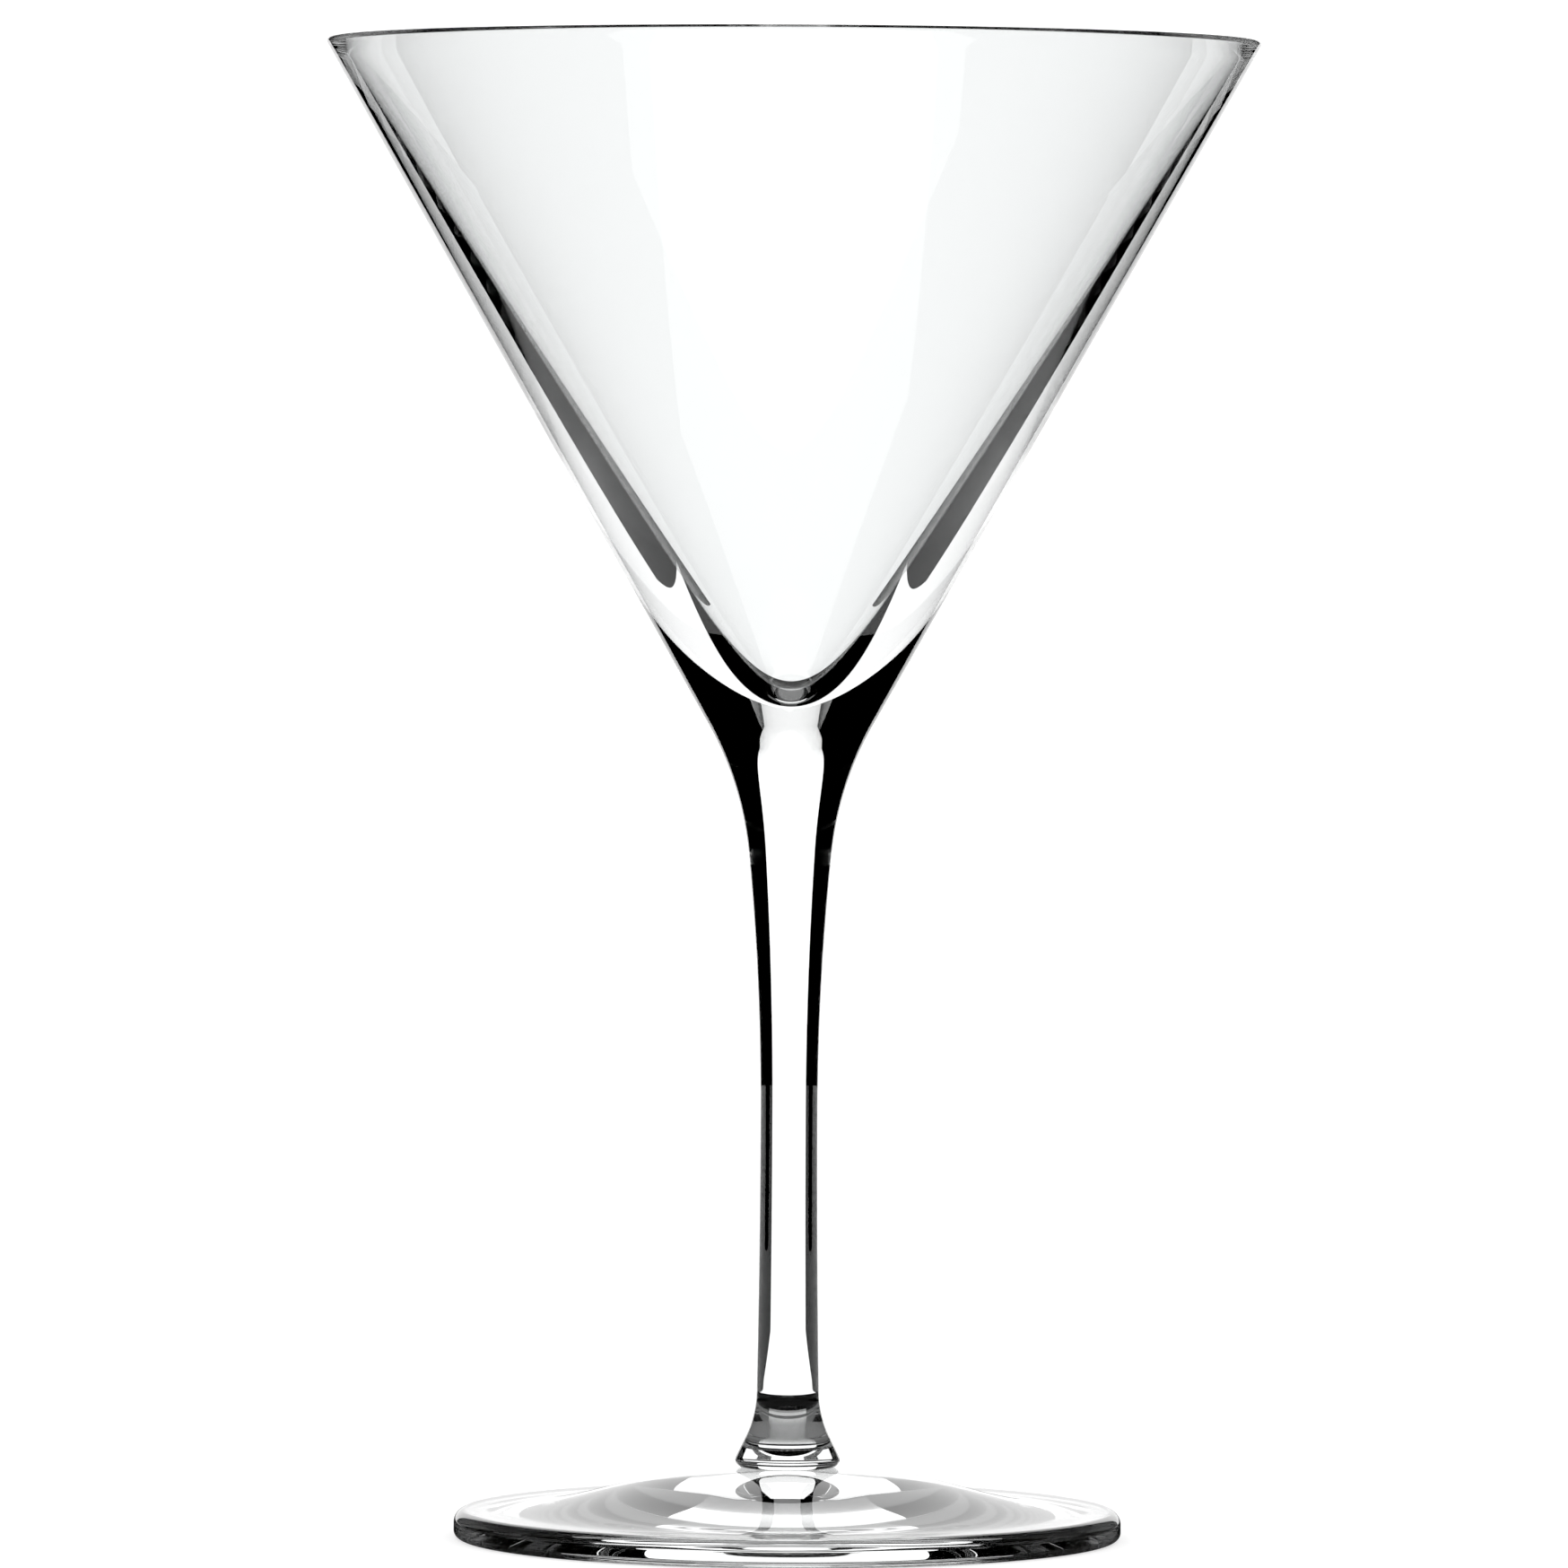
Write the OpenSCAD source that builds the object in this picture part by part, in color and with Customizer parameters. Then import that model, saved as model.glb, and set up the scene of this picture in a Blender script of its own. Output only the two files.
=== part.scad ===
// Martini glass, about 25 cl to the brim.
// A conical blown bowl is fused into the flared head of a drawn stem.
// The stem stands on a merese, a small button of glass, on a pressed round foot.
// The origin is on the table under the middle of the foot, with +Z up.

/* [Overall] */
// Height from the table to the top of the rim
glass_h = 175; // [150:1:210]
// Outer diameter of the rim
rim_d = 109; // [92:1:131]
// Outer diameter of the foot
foot_d = 78; // [65:1:94]

/* [Bowl] */
// Half angle of the cone outside the bowl, in degrees
outer_angle = 29.5; // [28:0.1:30.5]
// Half angle of the cone inside the bowl, in degrees, which thickens the wall downwards
inner_angle = 32.5; // [31.5:0.1:34]
// Radius of the rounded rim, half the thickness of the wall there
lip_r = 0.42; // [0.35:0.01:0.5]
// Height of the round bottom of the inside above the point where the inside cone would close
bottom_lift = 9.2; // [7.6:0.1:11]
// Radius of the bowl's rounded base, which the head of the stem wraps
seat_r = 16; // [13.5:0.5:20]

/* [Stem] */
// Diameter of the stem at its waist
waist_d = 6.7; // [5.5:0.1:8.1]
// Height of the waist below the point where the outside cone would close
waist_drop = 28; // [24:1:34]
// Radius of the long swell from the waist up to the shoulder
swell_r = 300; // [240:5:400]
// Radius of the shoulder that carries the swell out into the bowl
shoulder_r = 38; // [30:1:50]
// Diameter of the stem at its ankle, above the lower flare
ankle_d = 7.3; // [6:0.1:8.8]
// Diameter of the lower end of the stem
stem_end_d = 9.8; // [9:0.1:11.4]
// Radius of the flare between the ankle and the lower end
flare_r = 12; // [9:0.5:15]

/* [Merese] */
// Height of the merese, from the foot to the end of the stem
merese_h = 3.6; // [3:0.1:4.4]
// Diameter of the merese
merese_d = 12.2; // [11.6:0.1:14.6]
// Radius of the merese's rounded lower edge
merese_edge_r = 0.9; // [0.7:0.1:1.1]

/* [Foot] */
// Thickness of the foot at its edge
foot_edge_t = 3.3; // [2.8:0.1:4]
// Height of the middle of the foot, where the merese stands
foot_mid_h = 8.3; // [7:0.1:10]
// Radius of the foot's upper edge
foot_top_r = 1.5; // [1.2:0.1:1.8]
// Radius of the foot's lower edge
foot_low_r = 0.9; // [0.7:0.1:1.1]
// Width of the level border round the top of the foot
border_w = 2.5; // [2:0.5:5]
// Width of the flat ring that the glass stands on
ring_w = 3; // [2.5:0.5:4]
// Depth of the hollow inside that ring
dish_depth = 1.2; // [1:0.1:1.5]

/* [Hidden] */
$fn = 180;

clear_glass = [0.84, 0.9, 0.92];

// Segments in a small edge, in a long curve, and in the inside of the bowl
edge_steps = 8;
curve_steps = 24;
inside_steps = 48;

// How strongly the points of the bowl's inside crowd towards its bottom
inside_crowding = 1.6;

// Rounded rim, which both walls of the bowl are tangent to
lip_at = [rim_d / 2 - lip_r, glass_h - lip_r];

// Height at which the outside cone would close on the axis
outer_tip_z = lip_at.y - (lip_at.x * cos(outer_angle) + lip_r) / sin(outer_angle);

// Top of the inside, on the rounded rim, and the height at which the inside cone would close
inside_top = lip_at + lip_r * [-cos(inner_angle), sin(inner_angle)];
inner_tip_z = inside_top.y - norm([bottom_lift, inside_top.x / tan(inner_angle)]);

// Waist of the stem, and the centre of the swell above it
waist_at = [waist_d / 2, outer_tip_z - waist_drop];
swell_at = waist_at + [swell_r, 0];

// The shoulder is tangent to the outside cone and to the swell.
// Its centre slides along a line beside the cone until it also meets the swell.
cone_dir = [sin(outer_angle), cos(outer_angle)];
cone_normal = [cos(outer_angle), -sin(outer_angle)];
track_start = [0, outer_tip_z] + shoulder_r * cone_normal - swell_at;
half_b = track_start * cone_dir;
track_c = track_start * track_start - pow(swell_r - shoulder_r, 2);
along_cone = -half_b - sqrt(half_b * half_b - track_c);
shoulder_at = swell_at + track_start + along_cone * cone_dir;
shoulder_low_angle = atan2(shoulder_at.y - swell_at.y, shoulder_at.x - swell_at.x);
shoulder_top_angle = 180 - outer_angle;

// Circle where the bowl, the stem and the outside meet, and the centre of the seat below it
joint_at = [0, outer_tip_z] + along_cone * cone_dir;
seat_at = [0, joint_at.y + sqrt(seat_r * seat_r - joint_at.x * joint_at.x)];
seat_angle = atan2(joint_at.y - seat_at.y, joint_at.x);

// Lower end of the stem, and the ankle where its flare begins
stem_end_z = foot_mid_h + merese_h;
flare_out = (stem_end_d - ankle_d) / 2;
flare_h = sqrt(flare_out * (2 * flare_r - flare_out));
ankle_z = stem_end_z + flare_h;
flare_at = [ankle_d / 2 + flare_r, ankle_z];

// Points along an arc round a centre, from one angle to another
function arc(centre, radius, from, to, steps) =
    [for (i = [0 : steps])
        let (angle = from + (to - from) * i / steps)
        centre + radius * [cos(angle), sin(angle)]];

// The seat, from the axis out to the joint, which the bowl and the stem share
function seat_curve() = arc(seat_at, seat_r, -90, seat_angle, curve_steps);

// A list of points the other way round
function backwards(points) = [for (i = [len(points) - 1 : -1 : 0]) points[i]];

// The inside of the bowl below its rim, a cone that curves into a round bottom
function inside_curve() =
    [for (i = [1 : inside_steps])
        let (r = inside_top.x * pow(1 - i / inside_steps, inside_crowding))
        [r, inner_tip_z + norm([bottom_lift, r / tan(inner_angle)])]];

module bowl() {
    lip = arc(lip_at, lip_r, -outer_angle, 180 - inner_angle, edge_steps * 2);
    color(clear_glass)
        rotate_extrude()
            polygon(concat(seat_curve(), lip, inside_curve()));
}

// The stem between the ankle and the waist, which thins as it rises
function shin_curve() =
    [for (i = [0 : curve_steps])
        let (below = 1 - i / curve_steps)
        [(waist_d + (ankle_d - waist_d) * below * below) / 2,
         waist_at.y + (ankle_z - waist_at.y) * below]];

module stem() {
    flare_low_angle = 180 + asin(flare_h / flare_r);
    flare = arc(flare_at, flare_r, flare_low_angle, 180, edge_steps * 2);
    swell = arc(swell_at, swell_r, 180, shoulder_low_angle, curve_steps);
    shoulder = arc(shoulder_at, shoulder_r, shoulder_low_angle, shoulder_top_angle, curve_steps);
    color(clear_glass)
        rotate_extrude()
            polygon(concat([[0, stem_end_z]], flare, shin_curve(), swell, shoulder,
                           backwards(seat_curve())));
}

// The merese tapers from its rounded edge up to the end of the stem
module merese() {
    edge_at = [merese_d / 2 - merese_edge_r, foot_mid_h + merese_edge_r];
    to_top = [stem_end_d / 2, stem_end_z] - edge_at;
    taper_angle = atan2(to_top.y, to_top.x) - acos(merese_edge_r / norm(to_top));
    edge = arc(edge_at, merese_edge_r, -90, taper_angle, edge_steps * 2);
    color(clear_glass)
        rotate_extrude()
            polygon(concat([[0, foot_mid_h]], edge, [to_top + edge_at, [0, stem_end_z]]));
}

// The top of the foot falls in one even wave from the merese to its border
function foot_top_curve(from_r, to_r) =
    [for (i = [0 : curve_steps])
        [from_r + (to_r - from_r) * i / curve_steps,
         foot_edge_t + (foot_mid_h - foot_edge_t) * (1 + cos(180 * i / curve_steps)) / 2]];

module foot() {
    foot_r = foot_d / 2;
    ring_out_r = foot_r - foot_low_r;
    ring_in_r = ring_out_r - ring_w;
    dish = [for (i = [0 : curve_steps])
        let (out = i / curve_steps)
        [ring_in_r * out, dish_depth * (1 - out * out)]];
    low_edge = arc([ring_out_r, foot_low_r], foot_low_r, -90, 0, edge_steps);
    top_edge = arc([foot_r - foot_top_r, foot_edge_t - foot_top_r], foot_top_r, 0, 90, edge_steps);
    top = foot_top_curve(merese_d / 2, foot_r - foot_top_r - border_w);
    color(clear_glass)
        rotate_extrude()
            polygon(concat(dish, low_edge, top_edge, backwards(top), [[0, foot_mid_h]]));
}

bowl();
stem();
merese();
foot();
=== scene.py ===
"""A martini glass in clear crystal: blown bowl, drawn stem, merese and pressed foot."""
import math

import bpy
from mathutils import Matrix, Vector


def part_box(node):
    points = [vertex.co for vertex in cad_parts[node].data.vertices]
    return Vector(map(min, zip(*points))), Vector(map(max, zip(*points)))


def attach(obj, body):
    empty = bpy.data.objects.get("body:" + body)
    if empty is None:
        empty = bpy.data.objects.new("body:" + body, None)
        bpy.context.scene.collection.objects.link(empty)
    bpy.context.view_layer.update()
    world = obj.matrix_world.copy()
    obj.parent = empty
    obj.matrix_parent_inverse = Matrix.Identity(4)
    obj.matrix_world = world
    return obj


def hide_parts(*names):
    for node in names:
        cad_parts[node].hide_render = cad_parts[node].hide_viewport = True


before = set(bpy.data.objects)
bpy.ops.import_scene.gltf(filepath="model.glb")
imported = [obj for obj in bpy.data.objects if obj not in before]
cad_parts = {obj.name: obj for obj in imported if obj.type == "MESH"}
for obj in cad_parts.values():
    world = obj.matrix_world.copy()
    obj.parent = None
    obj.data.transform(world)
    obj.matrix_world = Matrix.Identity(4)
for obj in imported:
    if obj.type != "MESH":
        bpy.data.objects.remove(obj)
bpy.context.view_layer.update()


# ---------------------------------------------------------------------- camera
# A long lens, a little below the rim and well above the foot, so the rim is nearly a line
# and the foot shows its top. It is turned a little, and the glass stands just off the middle.
camera_away = 1.412
camera_height = 0.130
view_width = 0.1830
view_middle = (-0.00097, 0.0882)
camera_roll = math.radians(0.27)

camera_data = bpy.data.cameras.new("camera")
camera = bpy.data.objects.new("camera", camera_data)
bpy.context.scene.collection.objects.link(camera)
bpy.context.scene.camera = camera
camera.location = (0, -camera_away, camera_height)
camera.rotation_euler = (math.pi / 2 + math.atan((view_middle[1] - camera_height) / camera_away),
                         -camera_roll, math.atan(-view_middle[0] / camera_away))
camera_data.sensor_width = 36
camera_data.lens = camera_data.sensor_width * camera_away / view_width
camera_data.clip_end = 50


# ------------------------------------------------------------------------ bowl
# The bowl is blown into a conical mould, cut to height and fire-polished, so its rim is round.
# Its wall is thin at the rim and thickens down to a small round bottom. The base is fused into
# the head of the stem along a part of a sphere.
sides = 320                     # flats round every turned piece, too fine to see
lip_r = 0.00042
outer_angle = math.radians(29.5)
inner_angle = math.radians(32.5)
bottom_lift = 0.0092            # from the point of the inside cone up to the round bottom
bottom_crowding = 1.6           # how strongly the inside's points crowd towards its bottom
seat_r = 0.016
near = 0.000001                 # as good as in the same place

bowl_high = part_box("bowl")[1]
lip_at = Vector((bowl_high[0] - lip_r, bowl_high[2] - lip_r))
outer_tip_z = lip_at.y - (lip_at.x * math.cos(outer_angle) + lip_r) / math.sin(outer_angle)
inside_top = lip_at + lip_r * Vector((-math.cos(inner_angle), math.sin(inner_angle)))
inner_tip_z = inside_top.y - math.hypot(bottom_lift, inside_top.x / math.tan(inner_angle))

# The stem's own sizes settle where its head meets the cone of the bowl
waist_r = 0.00335
waist_drop = 0.028
swell_r = 0.3
shoulder_r = 0.038
cone_dir = Vector((math.sin(outer_angle), math.cos(outer_angle)))
cone_normal = Vector((math.cos(outer_angle), -math.sin(outer_angle)))
waist_at = Vector((waist_r, outer_tip_z - waist_drop))
swell_at = waist_at + Vector((swell_r, 0))
track_start = Vector((0, outer_tip_z)) + shoulder_r * cone_normal - swell_at
half_b = track_start.dot(cone_dir)
track_c = track_start.dot(track_start) - (swell_r - shoulder_r) ** 2
along_cone = -half_b - math.sqrt(half_b ** 2 - track_c)
joint_at = Vector((0, outer_tip_z)) + along_cone * cone_dir
seat_at = Vector((0, joint_at.y + math.sqrt(seat_r ** 2 - joint_at.x ** 2)))
seat_angle = math.atan2(joint_at.y - seat_at.y, joint_at.x)


def linear(hex_colour):
    """The linear colour of an sRGB hex value."""
    channels = [int(hex_colour[i:i + 2], 16) / 255 for i in (0, 2, 4)]
    return [c / 12.92 if c <= 0.04045 else ((c + 0.055) / 1.055) ** 2.4 for c in channels] + [1]


def add_node(tree, kind, settings=(), links=()):
    """A new node with its settings, and with its inputs linked from other nodes' sockets."""
    made = tree.nodes.new(kind)
    for name, value in dict(settings).items():
        if name in made.inputs:
            made.inputs[name].default_value = value
        else:
            setattr(made, name, value)
    for name, socket in dict(links).items():
        tree.links.new(socket, made.inputs[name])
    return made


def arc(centre, radius, start, end, steps):
    """Points along an arc round a centre, from one angle to another."""
    angles = [start + (end - start) * i / steps for i in range(steps + 1)]
    return [centre + radius * Vector((math.cos(a), math.sin(a))) for a in angles]


def straight(start, end, steps):
    """Points along a straight line, its start left out."""
    return [start.lerp(end, i / steps) for i in range(1, steps + 1)]


def inside(steps):
    """Points down the inside of the bowl, a cone that curves into its round bottom."""
    radii = [inside_top.x * (1 - i / steps) ** bottom_crowding for i in range(steps + 1)]
    return [Vector((r, inner_tip_z + math.hypot(bottom_lift, r / math.tan(inner_angle))))
            for r in radii]


def turn(name, outline):
    """A closed solid of glass, spun round the upright axis from its outline."""
    bpy.ops.object.select_all(action="DESELECT")
    bpy.ops.mesh.primitive_circle_add(vertices=3, radius=0.001)
    piece = bpy.context.object
    piece.name = name
    piece.data.name = name
    bpy.ops.object.mode_set(mode="EDIT")
    bpy.ops.mesh.merge(type="CENTER")
    bpy.ops.transform.translate(value=(outline[0].x, 0, outline[0].y))
    for here, there in zip(outline, outline[1:]):
        step = (there.x - here.x, 0, there.y - here.y)
        bpy.ops.mesh.extrude_vertices_move(TRANSFORM_OT_translate={"value": step})
    bpy.ops.mesh.select_all(action="SELECT")
    bpy.ops.mesh.spin(steps=sides, angle=math.tau, center=(0, 0, 0), axis=(0, 0, 1))
    bpy.ops.mesh.select_all(action="SELECT")
    bpy.ops.mesh.remove_doubles(threshold=0.0000005)
    bpy.ops.mesh.normals_make_consistent(inside=False)
    bpy.ops.object.mode_set(mode="OBJECT")
    bpy.ops.object.shade_smooth_by_angle(angle=math.radians(20))
    return piece


def fused_glass():
    """Where two pieces were melted into one there is no surface, so light goes straight on."""
    made = bpy.data.materials.new("fused_glass")
    made.use_nodes = True
    made.node_tree.nodes.clear()
    clear = add_node(made.node_tree, "ShaderNodeBsdfTransparent", {"Color": (1, 1, 1, 1)})
    add_node(made.node_tree, "ShaderNodeOutputMaterial", links={"Surface": clear.outputs[0]})
    return made


def crystal_glass(name, ripple, ripple_height):
    """Lead-free crystal, clear and bright. The fire-polished surface keeps a faint ripple."""
    made = bpy.data.materials.new(name)
    made.use_nodes = True
    tree = made.node_tree
    tree.nodes.clear()
    place = add_node(tree, "ShaderNodeTexCoord")
    stretch = add_node(tree, "ShaderNodeMapping", {"Scale": ripple},
                       {"Vector": place.outputs["Object"]})
    waves = add_node(tree, "ShaderNodeTexNoise", {"Scale": 1, "Detail": 1},
                     {"Vector": stretch.outputs["Vector"]})
    bump = add_node(tree, "ShaderNodeBump", {"Strength": 1, "Distance": ripple_height},
                    {"Height": waves.outputs["Fac"]})
    glass = add_node(tree, "ShaderNodeBsdfPrincipled",
                     {"Base Color": linear("FDFEFE"), "Roughness": 0, "IOR": 1.52,
                      "Transmission Weight": 1},
                     {"Normal": bump.outputs["Normal"]})
    add_node(tree, "ShaderNodeOutputMaterial", links={"Surface": glass.outputs[0]})
    return made


fused = fused_glass()


def finish_glass(piece, node, material, is_fused):
    """Gives a piece its glass, clears its fused faces, and stands it in for its CAD node."""
    piece.data.materials.append(material)
    piece.data.materials.append(fused)
    for face in piece.data.polygons:
        face.material_index = int(is_fused(face.center))
    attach(piece, "root")
    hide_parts(node)


def on_seat(point):
    """Whether a point is on the sphere where the bowl sits in the stem."""
    return abs((point - Vector((0, 0, seat_at.y))).length - seat_r) < 0.00002


seat = arc(seat_at, seat_r, -math.pi / 2, seat_angle, 24)
lip = arc(lip_at, lip_r, -outer_angle, math.pi - inner_angle, 24)
bowl_outline = seat + straight(seat[-1], lip[0], 40) + lip[1:] + inside(72)[1:]
bowl = turn("blown_bowl", bowl_outline)
finish_glass(bowl, "bowl",
             crystal_glass("blown_crystal_glass", (60, 60, 60), 0.000004), on_seat)


# ------------------------------------------------------------------------ stem
# The stem is drawn down from a gather of hot glass: a long even curve from the waist up to the
# shoulder, which runs into the cone of the bowl, and a short flare onto the merese.
ankle_r = 0.00365
flare_r = 0.012
stem_end_r = 0.0049
stem_end_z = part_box("stem")[0][2]

shoulder_at = swell_at + track_start + along_cone * cone_dir
shoulder_low = math.atan2(shoulder_at.y - swell_at.y, shoulder_at.x - swell_at.x)
flare_out = stem_end_r - ankle_r
flare_h = math.sqrt(flare_out * (2 * flare_r - flare_out))
flare_at = Vector((ankle_r + flare_r, stem_end_z + flare_h))


def shin(steps):
    """Points from the ankle up to the waist, where the stem is thinnest."""
    below = [1 - i / steps for i in range(steps + 1)]
    return [Vector((waist_r + (ankle_r - waist_r) * b * b,
                    waist_at.y + (flare_at.y - waist_at.y) * b)) for b in below]


flare = arc(flare_at, flare_r, math.pi + math.asin(flare_h / flare_r), math.pi, 24)
swell = arc(swell_at, swell_r, math.pi, shoulder_low, 32)
shoulder = arc(shoulder_at, shoulder_r, shoulder_low, math.pi - outer_angle, 56)
stem_outline = [Vector((0, stem_end_z))] + flare + shin(24)[1:] + swell[1:] + shoulder[1:]
stem_outline += seat[-2::-1]
stem = turn("drawn_stem", stem_outline)
finish_glass(stem, "stem",
             crystal_glass("drawn_crystal_glass", (400, 400, 40), 0.000002),
             lambda point: on_seat(point) or point.z < stem_end_z + near)


# ---------------------------------------------------------------------- merese
# The merese is a small button of glass between the stem and the foot. It is dropped on hot
# and shaped with a tool, so its lower edge is round and its side tapers up to the stem.
merese_edge_r = 0.0009
merese_low, merese_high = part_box("merese")
edge_at = Vector((merese_high[0] - merese_edge_r, merese_low[2] + merese_edge_r))
to_top = Vector((stem_end_r, stem_end_z)) - edge_at
taper = math.atan2(to_top.y, to_top.x) - math.acos(merese_edge_r / to_top.length)
merese_edge = arc(edge_at, merese_edge_r, -math.pi / 2, taper, 20)
merese_outline = [Vector((0, merese_low[2]))] + merese_edge
merese_outline += straight(merese_edge[-1], Vector((stem_end_r, stem_end_z)), 6)
merese_outline += [Vector((0, stem_end_z))]
merese = turn("merese_button", merese_outline)
finish_glass(merese, "merese",
             crystal_glass("tooled_crystal_glass", (200, 200, 200), 0.000002),
             lambda point: not merese_low[2] + near < point.z < stem_end_z - near)


# ------------------------------------------------------------------------ foot
# The foot is pressed in a mould and fire-polished. Its top falls from the middle in one wave
# to a level border, its edge is round, and it stands on a flat ring round a shallow hollow.
foot_edge_t = 0.0033
foot_top_r = 0.0015
foot_low_r = 0.0009
border_w = 0.0025
ring_w = 0.003
dish_depth = 0.0012

foot_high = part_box("foot")[1]
foot_r, foot_mid_h = foot_high[0], foot_high[2]
merese_r = merese_high[0]
ring_out_r = foot_r - foot_low_r
ring_in_r = ring_out_r - ring_w


def dish(steps):
    """Points of the hollow under the foot, from the middle out."""
    return [Vector((ring_in_r * i / steps, dish_depth * (1 - (i / steps) ** 2)))
            for i in range(steps + 1)]


def foot_top(start_r, end_r, steps):
    """Points of the wave on top of the foot, between two radii."""
    fall = foot_mid_h - foot_edge_t
    return [Vector((start_r + (end_r - start_r) * i / steps,
                    foot_edge_t + fall * (1 + math.cos(math.pi * i / steps)) / 2))
            for i in range(steps + 1)]


low_edge = arc(Vector((ring_out_r, foot_low_r)), foot_low_r, -math.pi / 2, 0, 14)
top_edge = arc(Vector((foot_r - foot_top_r, foot_edge_t - foot_top_r)), foot_top_r,
               0, math.pi / 2, 20)
top = foot_top(merese_r, foot_r - foot_top_r - border_w, 48)
foot_outline = dish(40) + low_edge + top_edge + top[::-1]
foot_outline += [Vector((edge_at.x, foot_mid_h)), Vector((0, foot_mid_h))]
foot = turn("pressed_foot", foot_outline)
finish_glass(foot, "foot",
             crystal_glass("pressed_crystal_glass", (80, 80, 80), 0.000003),
             lambda point: point.z > foot_mid_h - near and point.xy.length < edge_at.x)


# ----------------------------------------------------------------------- floor
# A sheet of white acrylic lit from below, so it is as bright as the wall behind it.
floor_gap = 0.00006             # the glass and the floor touch, but not as one surface
bpy.ops.object.select_all(action="DESELECT")
bpy.ops.mesh.primitive_circle_add(vertices=96, radius=6, fill_type="NGON",
                                  location=(0, 0, -floor_gap))
floor = bpy.context.object
floor.name = "floor"
acrylic = bpy.data.materials.new("white_acrylic")
acrylic.use_nodes = True
floor_shader = acrylic.node_tree.nodes["Principled BSDF"]
floor_shader.inputs["Base Color"].default_value = linear("AFAFAF")
floor_shader.inputs["Roughness"].default_value = 0.9
floor_shader.inputs["Specular IOR Level"].default_value = 0
floor_shader.inputs["Emission Color"].default_value = (1, 1, 1, 1)
floor_shader.inputs["Emission Strength"].default_value = 0.62
floor.data.materials.append(acrylic)


# ----------------------------------------------------------------------- light
# Clear glass is lit from behind: the wall is white, a black card stands close to the glass on
# each side, and the room in front and above is dark. The glass shows them as its dark outlines.
# Painted shade: a black disc on the floor blackens the ends of the foot, and a grey one shades
# its middle.
# The cards, shade discs and dark room swing round the glass with the camera, as on a turntable.
rig = bpy.data.objects.new("turntable", None)
bpy.context.scene.collection.objects.link(rig)
facing = rig.constraints.new("LOCKED_TRACK")
facing.target = camera
facing.track_axis = "TRACK_NEGATIVE_Y"
facing.lock_axis = "LOCK_Z"


def finish_card(made, name, brightness):
    """Paints a card, and keeps it out of the camera's own view and from casting shade."""
    paper = bpy.data.materials.new(name)
    paper.use_nodes = True
    paper.node_tree.nodes.clear()
    glow = add_node(paper.node_tree, "ShaderNodeEmission", {"Strength": brightness})
    add_node(paper.node_tree, "ShaderNodeOutputMaterial", links={"Surface": glow.outputs[0]})
    made.name = name
    made.data.materials.append(paper)
    made.visible_camera = False
    made.visible_diffuse = False
    made.visible_shadow = False


def card(name, corners):
    """A black card with four corners, carried by the turntable."""
    bpy.ops.object.select_all(action="DESELECT")
    bpy.ops.mesh.primitive_plane_add(size=1)
    made = bpy.context.object
    for vertex, place in zip(made.data.vertices, corners):
        vertex.co = place
    made.parent = rig
    finish_card(made, name, 0)


def upright(name, start, end, low, high):
    """A card that stands on a line across the floor."""
    card(name, [(*start, low), (*end, low), (*start, high), (*end, high)])


card_away = 0.115
card_front = -0.3
card_back = 0.24
card_high = 0.6
for side in (-1, 1):
    x = side * card_away
    upright(f"side_card_{side}", (x, card_front), (x, card_back), 0, card_high)

room_r = 3
room_high = 4
room_angles = [math.radians(d) for d in range(80, 281, 10)]
room = [(room_r * math.sin(a), room_r * math.cos(a)) for a in room_angles]
for i, (here, there) in enumerate(zip(room, room[1:])):
    upright(f"dark_room_{i}", here, there, -0.1, room_high)

ceiling_z = 1
ceiling_front = -4
ceiling_back = 0.7
card("dark_ceiling", [(x, y, ceiling_z) for y in (ceiling_front, ceiling_back) for x in (-4, 4)])


camera_low_z = 0.2              # the painted-shade discs lie on the floor while the camera is below this
camera_high_z = 0.3             # and are out of the way when it is above this
shade_disc_drop = 0.05


def painted_shade_disc(name, radius, start, end, depth, brightness):
    """A round disc of painted shade under the glass, or the part of one between two whole
    degrees.

    Its depth is a share of the gap above the floor. It is let down through the floor when the
    camera looks from higher up.
    """
    angles = [math.radians(d) for d in range(start, end, 4)]
    bpy.ops.object.select_all(action="DESELECT")
    bpy.ops.mesh.primitive_circle_add(vertices=len(angles), fill_type="NGON",
                                      location=(0, 0, -depth * floor_gap))
    made = bpy.context.object
    for vertex, a in zip(made.data.vertices, angles):
        vertex.co = (radius * math.cos(a), radius * math.sin(a), 0)
    made.parent = rig
    lift = made.constraints.new("TRANSFORM")
    lift.target = camera
    lift.map_from = "LOCATION"
    lift.from_min_z = camera_low_z
    lift.from_max_z = camera_high_z
    lift.map_to = "LOCATION"
    lift.map_to_z_from = "Z"
    lift.to_max_z = -shade_disc_drop
    finish_card(made, name, brightness)


# painted shade seen only through the glass: a black part-disc round the foot, a grey disc under
# it
painted_shade_disc("dark_painted_shade", 0.14, -30, 210, 0.75, 0)
painted_shade_disc("grey_painted_shade", 0.036, 0, 360, 0.25, 0.2)

world = bpy.data.worlds.new("studio")
bpy.context.scene.world = world
world.use_nodes = True
world.node_tree.nodes["Background"].inputs["Color"].default_value = (1, 1, 1, 1)
world.node_tree.nodes["Background"].inputs["Strength"].default_value = 1.28

scene = bpy.context.scene
scene.view_settings.view_transform = "Standard"
scene.cycles.max_bounces = 128
scene.cycles.transmission_bounces = 128
scene.cycles.glossy_bounces = 128
scene.cycles.transparent_max_bounces = 64
